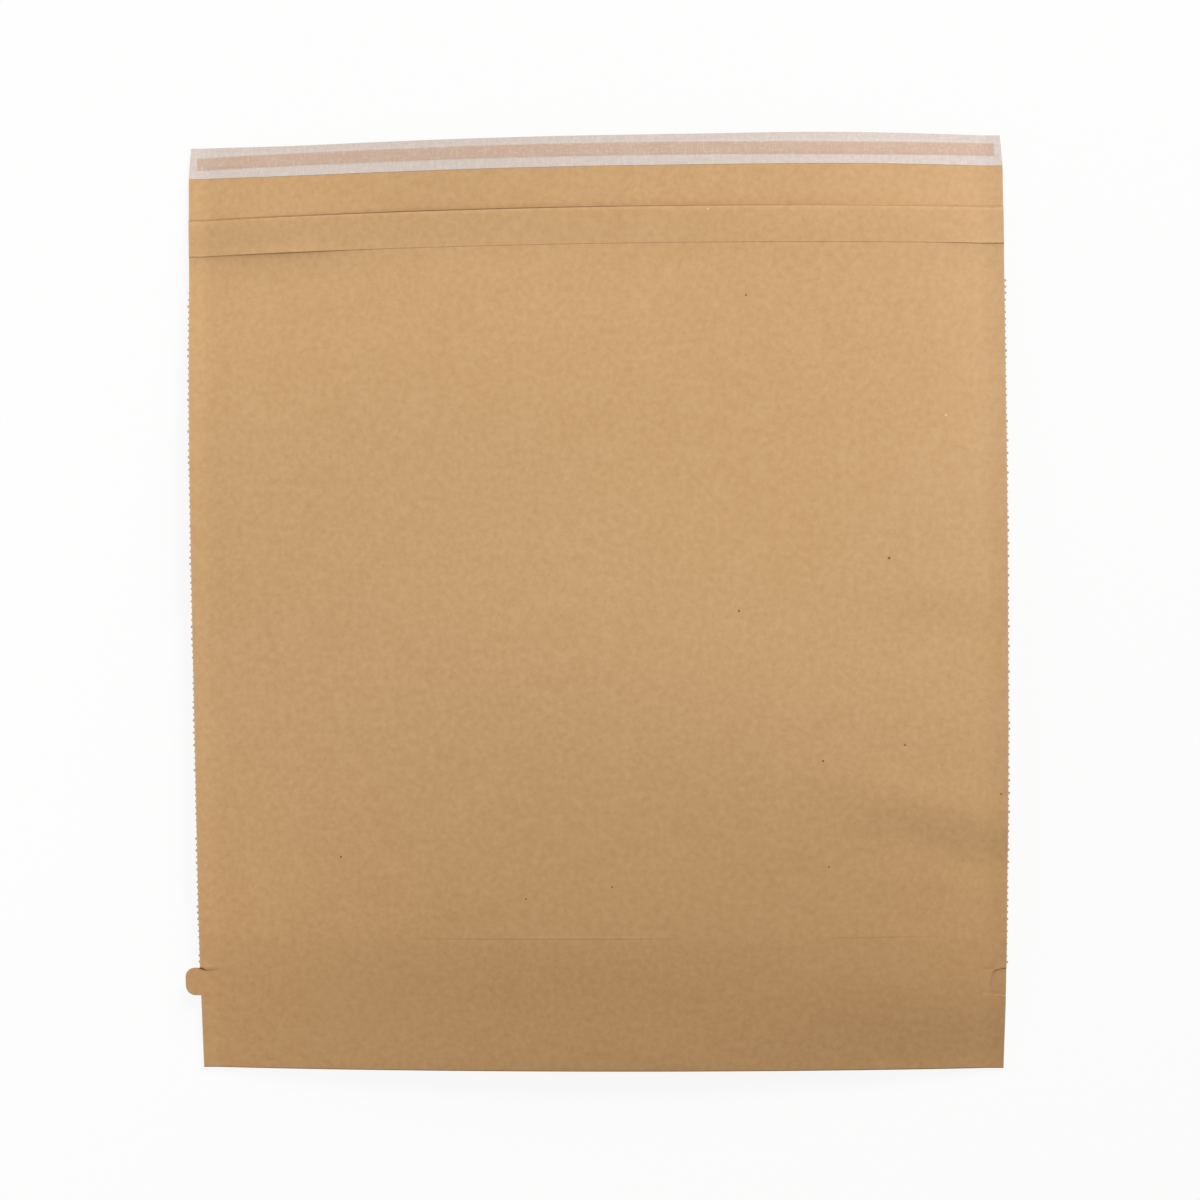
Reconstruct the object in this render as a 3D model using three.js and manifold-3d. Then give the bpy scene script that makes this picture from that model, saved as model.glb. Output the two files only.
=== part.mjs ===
// Kraft paper mailing bag with a peel-and-seal flap, a tucked-in bottom gusset and a tear-open tab.
// It lies on its back, a little puffed, with the flap towards +Y and the tear tab on the left.
// Millimetres, +Z up. The origin is on the table, under the middle of the pocket.
import * as THREE from "three";
import { mergeVertices } from "three/addons/utils/BufferGeometryUtils.js";
import Module from "manifold-3d";

const wasm = await Module();
wasm.setup();

// The sheet and its folds
const bagWidth = 450; // between the two cut side edges
const pocketLength = 476.5; // from the bottom folds to the mouth fold
const flapLength = 39; // back sheet beyond the mouth
const hemDepth = 20; // front sheet turned outwards and down at the mouth
const gussetDepth = 75; // bottom tucked up between front and back
const paperThickness = 0.2;
const plyGap = 0.1; // air between two plies that lie on each other
const seamWidth = 10; // glued strip along each side edge

// How the empty bag lies
const leftSeamLift = 9.5; // side seams rise off the table half way up
const rightSeamLift = 13.5;
const puffHeight = 21.5; // top of the front sheet above the table
const bottomFoldLift = 6.5; // front bottom fold above the back one, in the middle
const mouthGap = 7; // clear height of the mouth, in the middle
const flapArch = 16; // middle of the flap's edge above its corners
const hemLiftLeft = 1.6; // free edge of the hem springs up at its two ends
const hemLiftRight = 1.1;
const gussetStep = 4; // length over which the front sheet steps down past the gusset

// Cut edges
const nibPitch = 3.5; // torn ties of the perforation that parted the bags
const nibReach = 0.6;
const nibWidth = 1.5;
const nibsBelowMouth = 35; // the sides are cut clean from here up
const flapTaper = 1.4; // each end of the flap leans in by this, beside the liner
const bottomInset = 0.4; // left edge steps in below the tab

// Tear tab, its slit and its tape
const tabHeight = 16;
const tabReach = 8.5;
const tabCorner = 5.5;
const tabAboveBottom = 50; // bottom fold to the middle of the tab
const slitLength = 4.5;
const slitWidth = 0.3;
const slitSlope = 0.42; // fall of the slit for each millimetre inwards
const tapeWidth = 5;
const tapeThickness = 0.06;
const tapeClearance = 0.01;
const tapeEndMargin = 3; // from the tape's right end to the notch

// Peel-and-seal strip
const linerWidth = 16.5;
const linerThickness = 0.08;
const bandWidth = 7;
const bandThickness = 0.1;
const bandBelowFlapEnd = 4; // bare liner between the flap's end and the adhesive
const bandEndMargin = 3.2; // bare liner at each end of the adhesive
const stripGap = 0.03; // clearance between the flap, the adhesive and the liner

// Facets
const crossDivisions = 14; // between the seams
const lengthDivisions = 10; // between the gusset and the hem
const foldSteps = 3; // in each half turn of a fold

const halfWidth = bagWidth / 2;
const bottomY = -pocketLength / 2;
const mouthY = pocketLength / 2;
const flapEndY = mouthY + flapLength;
const hemEdgeY = mouthY - hemDepth;
const gussetTopY = bottomY + gussetDepth;
const tabY = bottomY + tabAboveBottom;
const linerEdgeY = flapEndY - linerWidth;
const bandTopY = flapEndY - bandBelowFlapEnd;
const bandLowY = bandTopY - bandWidth;
const plyPitch = paperThickness + plyGap;
const foldRadius = plyPitch / 2;
const seamInner = halfWidth - seamWidth;
const cutReach = nibReach + 1; // how far the blank runs past the line that trims it
const tabBlankX = -halfWidth - tabReach - cutReach; // the blank's left edge, past the tab

const kraft = new THREE.MeshStandardMaterial({ color: 0xc8a276, roughness: 0.88, metalness: 0 });
const hotMelt = new THREE.MeshStandardMaterial({ color: 0xd9b38c, roughness: 0.35, metalness: 0 });
const siliconePaper = new THREE.MeshStandardMaterial({ color: 0xdfd3cb, roughness: 0.55, metalness: 0 });
const tearFilm = new THREE.MeshStandardMaterial({ color: 0xe6ddd0, roughness: 0.3, metalness: 0 });

const clamp01 = (t) => Math.min(1, Math.max(0, t));
const smooth = (from, to, v) => {
  const t = clamp01((v - from) / (to - from));
  return t * t * (3 - 2 * t);
};

// 0 on the centre line, 1 at the inner edge of a side seam and all over the seam
const acrossShare = (x) => Math.min(1, Math.abs(x) / seamInner);

// Height of the side seams over the table, carried straight across the width
function seamLift(x, y) {
  const middleY = (bottomY + flapEndY) / 2;
  const halfLength = (flapEndY - bottomY) / 2;
  const bow = 1 - ((y - middleY) / halfLength) ** 2;
  const side = x / bagWidth + 0.5;
  return (leftSeamLift * (1 - side) + rightSeamLift * side) * Math.max(0, bow);
}

// Middle of the back sheet's thickness: flat on the table, up to the seams, arched at the flap
function backMid(x, y) {
  const w = acrossShare(x);
  const arch = flapArch * smooth(pocketLength / 12, flapEndY, y) * (1 - w * w);
  return paperThickness / 2 + seamLift(x, y) * smooth(0.4, 1, w) + arch;
}

// Height of the front sheet on the centre line, from the bottom fold up to the mouth
function crownHeight(y) {
  const t = clamp01((y - bottomY) / (pocketLength * 0.48));
  const risen = bottomFoldLift + (puffHeight - bottomFoldLift) * t * (2 - t);
  const mouthHeight = backMid(0, mouthY) + paperThickness / 2 + mouthGap;
  return risen + (mouthHeight - risen) * smooth(pocketLength * 0.2, mouthY, y);
}

// Middle of the front sheet's thickness
function frontMid(x, y) {
  const w = acrossShare(x);
  const pliesBelow = 3 - 2 * clamp01((y - gussetTopY) / gussetStep);
  const dome = (crownHeight(y) - seamLift(0, y)) * (1 - w * w) ** 0.9;
  return paperThickness / 2 + plyPitch * pliesBelow + seamLift(x, y) + Math.max(0, dome);
}

// Lower and upper ply of the gusset: they leave the outer sheets and meet half way at the inner fold
function gussetMid(x, y, upper) {
  const t = clamp01((y - bottomY) / gussetDepth);
  const outer = upper ? frontMid(x, y) - plyPitch : backMid(x, y) + plyPitch;
  const inner = (backMid(x, y) + frontMid(x, y)) / 2 + (upper ? foldRadius : -foldRadius);
  return outer + (inner - outer) * t;
}

// The hem lies on the front sheet, and its free edge springs up towards the ends
function hemMid(x, y) {
  const side = x / halfWidth;
  const lift = hemLiftLeft * smooth(-0.35, -0.95, side) + hemLiftRight * smooth(0.6, 1, side);
  return frontMid(x, y) + plyPitch + lift * clamp01((mouthY - y) / hemDepth) ** 1.5;
}

const spread = (from, to, parts) =>
  Array.from({ length: parts + 1 }, (_, i) => from + ((to - from) * i) / parts);

// Stations across the width and along the length; pieces that lie on each other share them
const acrossStations = [
  tabBlankX,
  ...spread(-seamInner, seamInner, crossDivisions),
  halfWidth + cutReach,
];
const gussetStations = [
  bottomY + foldRadius,
  bottomY + tabAboveBottom / 2,
  tabY - tapeWidth / 2,
  tabY + tapeWidth / 2,
  gussetTopY - foldRadius,
];
const pocketStations = [
  ...gussetStations,
  ...spread(gussetTopY + gussetStep, hemEdgeY, lengthDivisions),
  mouthY - foldRadius,
];
const flapStations = [mouthY, linerEdgeY, bandLowY, bandTopY, flapEndY];

// Half turn between two plies, its end points left out; towards is -1 or +1 along Y
function foldTurn(y, zFrom, zTo, towards) {
  const radius = Math.abs(zTo - zFrom) / 2;
  return spread(0, Math.PI, foldSteps)
    .slice(1, -1)
    .map((a) => [y + towards * radius * Math.sin(a), (zFrom + zTo) / 2 - ((zTo - zFrom) / 2) * Math.cos(a)]);
}

// The sheet's middle line in the plane at x: flap, back, gusset, front and hem
function sheetLine(x) {
  const up = (heights, stations) => stations.map((y) => [y, heights(x, y)]);
  const down = (heights, stations) => up(heights, stations).reverse();
  const lowerGusset = up((a, y) => gussetMid(a, y, false), gussetStations);
  const upperGusset = down((a, y) => gussetMid(a, y, true), gussetStations);
  const back = down(backMid, [...pocketStations, ...flapStations]);
  const front = up(frontMid, pocketStations);
  const hem = down(hemMid, [hemEdgeY, mouthY - hemDepth / 2, mouthY - foldRadius]);
  const last = (line) => line[line.length - 1];
  const turn = (a, b, towards) => foldTurn(last(a)[0], last(a)[1], b[0][1], towards);
  return [
    ...back,
    ...turn(back, lowerGusset, -1),
    ...lowerGusset,
    ...turn(lowerGusset, upperGusset, 1),
    ...upperGusset,
    ...turn(upperGusset, front, -1),
    ...front,
    ...turn(front, hem, 1),
    ...hem,
  ];
}

// The line's points moved sideways by distance, in the plane at one x
function offsetLine(line, distance) {
  return line.map(([y, z], k) => {
    const [y0, z0] = line[Math.max(0, k - 1)];
    const [y1, z1] = line[Math.min(line.length - 1, k + 1)];
    const length = Math.hypot(y1 - y0, z1 - z0);
    return [y - ((z1 - z0) / length) * distance, z + ((y1 - y0) / length) * distance];
  });
}

// Closed skin between two grids of points, rows[x station][place along the line] = [x, y, z].
// Every facet is split along the same diagonal in plan, so that stacked plies stay parallel.
function skin(lowRows, highRows) {
  const columns = lowRows[0].length;
  const count = lowRows.length * columns;
  const at = (side, i, k) => side * count + i * columns + k;
  const faces = [];
  const quad = (a, b, c, d) => faces.push(a, b, c, a, c, d);
  for (let i = 0; i < lowRows.length - 1; i++) {
    for (let k = 0; k < columns - 1; k++) {
      const corners = (side) => [at(side, i, k), at(side, i + 1, k), at(side, i + 1, k + 1), at(side, i, k + 1)];
      const turned = lowRows[i][k + 1][1] < lowRows[i][k][1] ? [1, 2, 3, 0] : [0, 1, 2, 3];
      quad(...turned.map((c) => corners(1)[c]));
      const [a, b, c, d] = turned.map((n) => corners(0)[n]);
      faces.push(a, c, b, a, d, c);
    }
    const end = columns - 1;
    quad(at(0, i, 0), at(0, i + 1, 0), at(1, i + 1, 0), at(1, i, 0));
    quad(at(0, i + 1, end), at(0, i, end), at(1, i, end), at(1, i + 1, end));
  }
  for (let k = 0; k < columns - 1; k++) {
    const end = lowRows.length - 1;
    quad(at(0, 0, k + 1), at(0, 0, k), at(1, 0, k), at(1, 0, k + 1));
    quad(at(0, end, k), at(0, end, k + 1), at(1, end, k + 1), at(1, end, k));
  }
  const geometry = new THREE.BufferGeometry();
  const points = [...lowRows, ...highRows].flat(2);
  geometry.setAttribute("position", new THREE.Float32BufferAttribute(points, 3));
  geometry.setIndex(faces);
  return solidOf(geometry);
}

// A layer over stations xs and ys, between two height functions
function layer(xs, ys, low, high) {
  const rows = (height) => xs.map((x) => ys.map((y) => [x, y, height(x, y)]));
  return skin(rows(low), rows(high));
}

function solidOf(geometry) {
  const bare = geometry.clone();
  bare.deleteAttribute("normal");
  bare.deleteAttribute("uv");
  const merged = mergeVertices(bare, 1e-4);
  const vertProperties = new Float32Array(merged.attributes.position.array);
  const triVerts = new Uint32Array(merged.index.array);
  return new wasm.Manifold(new wasm.Mesh({ numProp: 3, vertProperties, triVerts }));
}

function meshOf(name, solid, material) {
  const { vertProperties, triVerts } = solid.getMesh();
  const geometry = new THREE.BufferGeometry();
  geometry.setAttribute("position", new THREE.BufferAttribute(new Float32Array(vertProperties), 3));
  geometry.setIndex(new THREE.BufferAttribute(new Uint32Array(triVerts), 1));
  geometry.computeVertexNormals();
  const mesh = new THREE.Mesh(geometry, material);
  mesh.name = name;
  return mesh;
}

// A plan outline as an upright block that reaches past every ply
function plate(shape) {
  const depth = puffHeight + flapArch + leftSeamLift + rightSeamLift;
  const block = new THREE.ExtrudeGeometry(shape, { depth: 2 * depth, bevelEnabled: false, curveSegments: 6 });
  return solidOf(block.translate(0, 0, -depth));
}

// Plan of the bag as it is cut: torn nibs beside the pocket, clean cuts at the flap and the bottom
function bagOutline() {
  const nibStartY = tabY + tabHeight / 2 + nibPitch;
  const nibCount = Math.floor((mouthY - nibsBelowMouth - nibStartY) / nibPitch);
  const nibs = [];
  for (let i = 0; i <= nibCount; i++) {
    const y = nibStartY + i * nibPitch;
    nibs.push([0, y - nibWidth / 2], [nibReach, y], [0, y + nibWidth / 2]);
  }
  const past = cutReach;
  const flapSide = [
    [0, linerEdgeY],
    [-flapTaper, flapEndY],
    [-flapTaper, flapEndY + past],
  ];
  const rightSide = [[0, bottomY - past], ...nibs, ...flapSide];
  const leftSide = [
    [-bottomInset, bottomY - past],
    [-bottomInset, tabY - tabHeight / 2],
    [0, tabY - tabHeight / 2],
    ...nibs,
    ...flapSide,
  ];
  const points = [
    ...rightSide.map(([out, y]) => new THREE.Vector2(halfWidth + out, y)),
    ...leftSide.map(([out, y]) => new THREE.Vector2(-halfWidth - out, y)).reverse(),
  ];
  return new THREE.Shape(points);
}

// Thumb tab in plan, bulging towards -X from a cut edge at edgeX, its root overlap inside the edge
function tabOutline(edgeX, root) {
  const low = tabY - tabHeight / 2;
  const high = tabY + tabHeight / 2;
  const tip = edgeX - tabReach;
  const corner = Math.min(tabCorner, tabHeight / 2, tabReach);
  const shape = new THREE.Shape();
  shape.moveTo(edgeX + root, low);
  shape.lineTo(edgeX + root, high);
  shape.lineTo(tip + corner, high);
  shape.absarc(tip + corner, high - corner, corner, Math.PI / 2, Math.PI, false);
  shape.absarc(tip + corner, low + corner, corner, Math.PI, 1.5 * Math.PI, false);
  return shape;
}

// A slit that starts at the tab's upper root and runs down into the front sheet
function slitOutline() {
  const y = tabY + tabHeight / 2;
  const inX = -halfWidth + slitLength;
  return new THREE.Shape([
    new THREE.Vector2(-halfWidth - cutReach, y),
    new THREE.Vector2(-halfWidth, y),
    new THREE.Vector2(inX, y - slitLength * slitSlope),
    new THREE.Vector2(-halfWidth, y + slitWidth),
    new THREE.Vector2(-halfWidth - cutReach, y + slitWidth),
  ]);
}

// The glued side seams: the plies that the glue joins, run together over the seam's width
function seamGlue(xs) {
  const aboveGusset = pocketStations.slice(gussetStations.length - 1);
  const lowerPly = (x, y) => gussetMid(x, y, false);
  const upperPly = (x, y) => gussetMid(x, y, true);
  return layer(xs, aboveGusset, backMid, frontMid)
    .add(layer(xs, gussetStations, backMid, lowerPly))
    .add(layer(xs, gussetStations, upperPly, frontMid));
}

// Middle of the gap between the front sheet and the ply under it
const underFront = (x, y) => frontMid(x, y) - plyPitch / 2;

// Everything from that gap up, for cuts that leave the plies under the front sheet whole
const frontOnly = layer(acrossStations, gussetStations, underFront, (x, y) => frontMid(x, y) + puffHeight);

function paperBag() {
  const lines = acrossStations.map((x) => sheetLine(x));
  const rows = (distance) =>
    lines.map((line, i) => offsetLine(line, distance).map(([y, z]) => [acrossStations[i], y, z]));
  const sheet = skin(rows(-paperThickness / 2), rows(paperThickness / 2));
  const leftGlue = seamGlue(acrossStations.slice(0, 2));
  const rightGlue = seamGlue(acrossStations.slice(-2));
  const tab = sheet.intersect(frontOnly).intersect(plate(tabOutline(-halfWidth, seamWidth / 4)));
  const notch = frontOnly.intersect(plate(tabOutline(halfWidth, cutReach)));
  const slit = frontOnly.intersect(plate(slitOutline()));
  return sheet
    .add(leftGlue)
    .add(rightGlue)
    .intersect(plate(bagOutline()))
    .add(tab)
    .subtract(notch)
    .subtract(slit)
    .subtract(tapeLayer(tapeClearance));
}

// The tape in the gap under the front sheet, from the tab to the far seam, or its channel with a clearance
function tapeLayer(clearance) {
  const half = tapeThickness / 2 + clearance;
  const leftX = -halfWidth - clearance;
  const rightX = halfWidth - tabReach - tapeEndMargin + clearance;
  const low = tabY - tapeWidth / 2;
  const high = tabY + tapeWidth / 2;
  const at = (x, y) => underFront(x, Math.min(high, Math.max(low, y)));
  const xs = [leftX, ...acrossStations.slice(1, -2), rightX];
  return layer(xs, [low - clearance, high + clearance], (x, y) => at(x, y) - half, (x, y) => at(x, y) + half);
}

// A strip on the flap, its stations cut to the strip's own ends
function flapStrip(endX, ys, lift, thickness) {
  const xs = [-endX, ...acrossStations.filter((x) => Math.abs(x) < endX), endX];
  const base = (x, y) => backMid(x, y) + paperThickness / 2 + lift;
  return layer(xs, ys, base, (x, y) => base(x, y) + thickness);
}

const adhesiveStrip = flapStrip(halfWidth - flapTaper - bandEndMargin, [bandLowY, bandTopY], stripGap, bandThickness);
const linerLift = 2 * stripGap + bandThickness;
const linerStations = [linerEdgeY, bandLowY, bandTopY, flapEndY];
const releaseLiner = flapStrip(halfWidth, linerStations, linerLift, linerThickness).intersect(plate(bagOutline()));

const mailingBag = new THREE.Group();
mailingBag.name = "paper_mailing_bag";
mailingBag.add(
  meshOf("paper_bag", paperBag(), kraft),
  meshOf("adhesive_strip", adhesiveStrip, hotMelt),
  meshOf("release_liner", releaseLiner, siliconePaper),
  meshOf("tear_tape", tapeLayer(0), tearFilm),
);

export default mailingBag;
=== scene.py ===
import bpy
import math
import random
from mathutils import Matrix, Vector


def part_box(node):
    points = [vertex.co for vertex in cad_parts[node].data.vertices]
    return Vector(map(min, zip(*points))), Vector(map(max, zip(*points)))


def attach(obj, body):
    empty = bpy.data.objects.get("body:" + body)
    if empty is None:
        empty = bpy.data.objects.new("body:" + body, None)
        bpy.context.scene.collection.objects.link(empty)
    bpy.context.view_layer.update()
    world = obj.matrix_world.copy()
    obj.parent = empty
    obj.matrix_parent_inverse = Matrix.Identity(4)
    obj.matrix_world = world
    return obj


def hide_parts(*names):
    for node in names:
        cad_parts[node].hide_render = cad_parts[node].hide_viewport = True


# Kraft paper mailing bag, empty, lying on its back and seen from straight above.
# Metres, +Z up, flap towards +Y, tear tab on the left.
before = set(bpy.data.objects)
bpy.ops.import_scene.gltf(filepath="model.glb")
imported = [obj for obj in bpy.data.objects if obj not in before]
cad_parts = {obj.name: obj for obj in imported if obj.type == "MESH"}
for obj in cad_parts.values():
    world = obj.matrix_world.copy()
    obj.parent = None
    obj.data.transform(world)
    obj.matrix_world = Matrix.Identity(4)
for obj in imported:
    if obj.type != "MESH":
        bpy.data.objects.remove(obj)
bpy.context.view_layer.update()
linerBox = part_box("release_liner")
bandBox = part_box("adhesive_strip")
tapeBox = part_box("tear_tape")
scene = bpy.context.scene
touch = 1e-5  # nearer than this counts as on the line
print("frame loaded:", ", ".join(sorted(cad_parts)))

# the folded sheet, as it is cut and glued, and the rows it is extruded in
sheet = {
    "pocketLength": 0.4765,  # bottom folds to mouth fold
    "hemDepth": 0.020,
    "gussetDepth": 0.075,
    "seamWidth": 0.010,
    "paper": 0.0002,
    "plyPitch": 0.0003,  # from one ply to the next where they lie together
    "foldSize": 0.0004,  # how far a fold stands past its crease line
    "foldPinch": 0.0006,  # extra room between the plies right at a fold
    "pinchLength": 0.002,
    "columns": 120,
    "flatLevel": 0.01,  # the plies lie this far apart until the sheet is draped
    "firstRow": 0.0005,
    "flapStep": 0.005,
    "backStep": 0.008,
    "gussetStep": 0.005,
    "frontStep": 0.0035,
    "hemStep": 0.0025,
    "foldRows": (0.0004, 0.001, 0.002),  # close rows just above the bottom fold
    "ridgeStep": 0.001,  # and just below the hem's free edge
    "ridgeRows": 0.010,
    "foldSteps": 4,
}

# how the empty bag lies: heights over the table
lie = {
    "leftSeam": 0.0095,
    "rightSeam": 0.0135,
    "seamFrom": 0.4,  # share of the half width where the back starts up to its seam
    "togetherFrom": 0.8,  # and where it takes on the front's unevenness
    "puff": 0.0215,
    "crownAt": 0.48,  # share of the pocket's length where the front is highest
    "roundness": 0.9,  # below 1 the front is fuller towards the seams
    "bottomFold": 0.0065,
    "mouthTop": 0.0194,  # the front sheet at the mouth, on the centre line
    "mouthEase": (0.1, 1.25),  # where the front comes down to it, in shares of the mouth's Y
    "calmBottom": 0.060,  # the front is even this near the bottom fold and the mouth
    "calmMouth": 0.038,
    "flapArch": 0.0169,
    "flapFall": 0.0004,  # from the mouth out to the flap's end
    "cornerLifts": [(0.0026, 0.215, 0.075), (0.0009, -0.215, 0.090)],  # height, place and reach along X
    "cornerLength": 0.072,
    "overGusset": 0.060,  # length over which the front eases down past the gusset
    "foldDip": 0.000026,  # the front rounds down towards the mouth fold
    "dipLength": 0.004,
    "hemCurls": [(0.00052, -0.168, 0.036), (0.00020, -0.225, 0.028), (0.00036, 0.222, 0.028)],
    "curlPower": 1.5,
    "hemPress": 0.78,  # how far the hem's free edge is pressed into the front
    "ridgeShare": 0.65,  # the front humps up under the hem's lifted edge
    "ridgeLength": 0.0036,
    "endWaves": [(0.0016, -0.225, 0.040), (0.0013, 0.135, 0.060)],  # the flap's end isn't quite straight
}

# tear tab on the left, the notch on the right, and the slit at the tab's root
tab = {
    "height": 0.016,
    "reach": 0.0085,
    "corner": 0.0055,
    "steps": 7,
    "rowStep": 0.001,
    "rootRow": 0.0003,  # a narrow row below the tab keeps its root square
    "notchPull": 0.030,  # how far in the sheet's columns make way for the notch
    "notchPress": 0.00009,  # the front lies tight on the plies round the notch
    "pressReach": (0.020, 0.016),
    "slitWidth": 0.0003,
    "slitSlope": 0.42,
    "slitFade": 0.016,  # how far in, and how far up and down, the rows lean with the slit
    "slitReach": 0.010,
    "lipLift": 0.0004,  # the paper above the slit
    "lipReach": 0.010,
    "lipRows": 0.008,
    "lipStep": 0.002,
}

halfWidth = linerBox[1][0]
flapEndY = linerBox[1][1]
mouthY = sheet["pocketLength"] / 2
bottomY = -mouthY
hemEdgeY = mouthY - sheet["hemDepth"]
archStartY = sheet["pocketLength"] / 12
gussetTopY = bottomY + sheet["gussetDepth"]
seamInner = halfWidth - sheet["seamWidth"]
tabY = (tapeBox[0][1] + tapeBox[1][1]) / 2
tabLow = tabY - tab["height"] / 2
tabHigh = tabY + tab["height"] / 2
slitTopY = tabHigh + tab["slitWidth"]
columnWidth = 2 * halfWidth / sheet["columns"]
backPly, lowerPly, upperPly, frontPly, hemPly = range(5)  # from the table up; two are the gusset's

# buckles of the empty bag: height, centre, reach along and across, turn in degrees
buckles = [
    (0.00050, 0.190, -0.090, 0.060, 0.014, -14),
    (-0.00030, 0.200, -0.118, 0.050, 0.012, -12),
    (0.00018, 0.185, 0.030, 0.045, 0.014, -8),
    (-0.00014, 0.190, 0.006, 0.045, 0.012, -6),
]

# slow waves of the front sheet: height, half waves across and along
waves = [
    (0.00027, 0, 1),
    (-0.00010, 0, 4),
    (-0.00009, 0, 6),
    (0.00034, 1, 0),
    (-0.00067, 1, 1),
    (-0.00028, 1, 2),
    (0.00038, 1, 3),
    (-0.00038, 1, 4),
    (-0.00018, 1, 6),
    (-0.00046, 2, 0),
    (0.00061, 2, 1),
    (0.00062, 2, 2),
    (0.00015, 2, 6),
    (-0.00039, 3, 0),
    (0.00017, 3, 2),
    (0.00010, 4, 3),
]


def smoothStep(low, high, value):
    t = min(1.0, max(0.0, (value - low) / (high - low)))
    return t * t * (3 - 2 * t)


def bump(x, y, centreX, centreY, reachX, reachY, turn=0.0):
    # soft round swelling, 1 at its centre, turned by an angle in degrees
    angle = math.radians(turn)
    dx = x - centreX
    dy = y - centreY
    along = dx * math.cos(angle) + dy * math.sin(angle)
    across = dy * math.cos(angle) - dx * math.sin(angle)
    return math.exp(-((along / reachX) ** 2) - (across / reachY) ** 2)


def curl(x, curls):
    # soft swellings along the width: height, place, reach
    return sum(height * math.exp(-(((x - place) / reach) ** 2)) for height, place, reach in curls)


def acrossShare(x):
    # 0 on the centre line, 1 at the seam's inner edge and all over the seam
    return min(1.0, abs(x) / seamInner)


def seamLift(x, y):
    # the side seams rise off the table half way up, and the flap's corners spring up
    middleY = (bottomY + flapEndY) / 2
    halfLength = (flapEndY - bottomY) / 2
    bow = max(0.0, 1 - ((y - middleY) / halfLength) ** 2)
    side = x / (2 * halfWidth) + 0.5
    corner = max(0.0, (y - flapEndY) / lie["cornerLength"] + 1) ** 2
    seam = (lie["leftSeam"] * (1 - side) + lie["rightSeam"] * side) * bow
    return seam + curl(x, lie["cornerLifts"]) * corner


def relief(x, y):
    # the front sheet's gentle unevenness, gone at the bottom fold and at the mouth
    across = math.pi * (x + halfWidth) / (2 * halfWidth)
    along = math.pi * (y - bottomY) / sheet["pocketLength"]
    held = smoothStep(bottomY, bottomY + lie["calmBottom"], y)
    held *= 1 - smoothStep(mouthY - lie["calmMouth"], mouthY, y)
    slow = sum(height * math.cos(i * across) * math.cos(j * along) for height, i, j in waves)
    return held * slow + sum(height * bump(x, y, *place) for height, *place in buckles)


def backHeight(x, y):
    w = acrossShare(x)
    risen = lie["flapArch"] * smoothStep(archStartY, mouthY, y)
    fallen = lie["flapFall"] * max(0.0, y - mouthY) / (flapEndY - mouthY)
    arch = (risen - fallen) * (1 - w * w)
    nearSeam = smoothStep(lie["seamFrom"], 1, w)
    together = relief(x, y) * smoothStep(lie["togetherFrom"], 1, w)
    return sheet["paper"] / 2 + seamLift(x, y) * nearSeam + arch + together


def crownHeight(y):
    # the front sheet on the centre line
    t = min(1.0, max(0.0, (y - bottomY) / (sheet["pocketLength"] * lie["crownAt"])))
    risen = lie["bottomFold"] + (lie["puff"] - lie["bottomFold"]) * t * (2 - t)
    low, high = (mouthY * share for share in lie["mouthEase"])
    eased = smoothStep(low, high, y) / smoothStep(low, high, mouthY)
    return risen - (lie["puff"] - lie["mouthTop"]) * eased


def frontHeight(x, y):
    w = acrossShare(x)
    t = min(1.0, max(0.0, (y - gussetTopY) / lie["overGusset"]))
    pliesBelow = 3 - 2 * t * (2 - t)
    dome = max(0.0, crownHeight(y) - seamLift(0, y)) * (1 - w * w) ** lie["roundness"]
    dip = lie["foldDip"] * math.exp(-max(0.0, mouthY - y) / lie["dipLength"])
    ridge = lie["ridgeShare"] * curl(x, lie["hemCurls"]) * math.exp(-abs(hemEdgeY - y) / lie["ridgeLength"])
    level = sheet["paper"] / 2 + sheet["plyPitch"] * pliesBelow
    return level + seamLift(x, y) + dome + relief(x, y) - dip + ridge


def gussetHeight(x, y, upper):
    # each ply leaves its outer sheet at the bottom fold and meets the other at the inner fold
    t = min(1.0, max(0.0, (y - bottomY) / sheet["gussetDepth"]))
    pitch = sheet["plyPitch"] + sheet["foldPinch"] * math.exp(-(y - bottomY) / sheet["pinchLength"])
    outer = frontHeight(x, y) - pitch if upper else backHeight(x, y) + sheet["plyPitch"]
    half = sheet["plyPitch"] / 2
    inner = (backHeight(x, y) + frontHeight(x, y)) / 2 + (half if upper else -half)
    return outer + (inner - outer) * t


def hemHeight(x, y):
    # the hem hugs the front sheet and its free edge curls up near the two ends
    fall = min(1.0, max(0.0, (mouthY - y) / sheet["hemDepth"]))
    pressed = sheet["plyPitch"] * (1 - lie["hemPress"] * fall)
    lifted = (1 - lie["ridgeShare"]) * curl(x, lie["hemCurls"]) * fall ** lie["curlPower"]
    return frontHeight(x, y) + pressed + lifted


def plyHeight(ply, x, y):
    if ply == backPly:
        return backHeight(x, y)
    if ply in (lowerPly, upperPly):
        return gussetHeight(x, y, ply == upperPly)
    if ply == frontPly:
        return frontHeight(x, y)
    return hemHeight(x, y)


def tabReachAt(y):
    # how far the thumb tab stands out at this height
    off = abs(y - tabY)
    flat = tab["height"] / 2 - tab["corner"]
    if off >= tab["height"] / 2:
        return 0.0
    if off <= flat:
        return tab["reach"]
    return tab["reach"] - tab["corner"] * (1 - math.sqrt(1 - ((off - flat) / tab["corner"]) ** 2))


def taperAt(y):
    # the flap's ends lean in beside the liner
    share = min(1.0, max(0.0, (y - linerBox[0][1]) / (flapEndY - linerBox[0][1])))
    return 1 - strip["taper"] / halfWidth * share


def endWave(x, y):
    return curl(x, lie["endWaves"]) * smoothStep(mouthY, flapEndY, y)


def deselectAll():
    for item in bpy.context.selected_objects:
        item.select_set(False)


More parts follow.
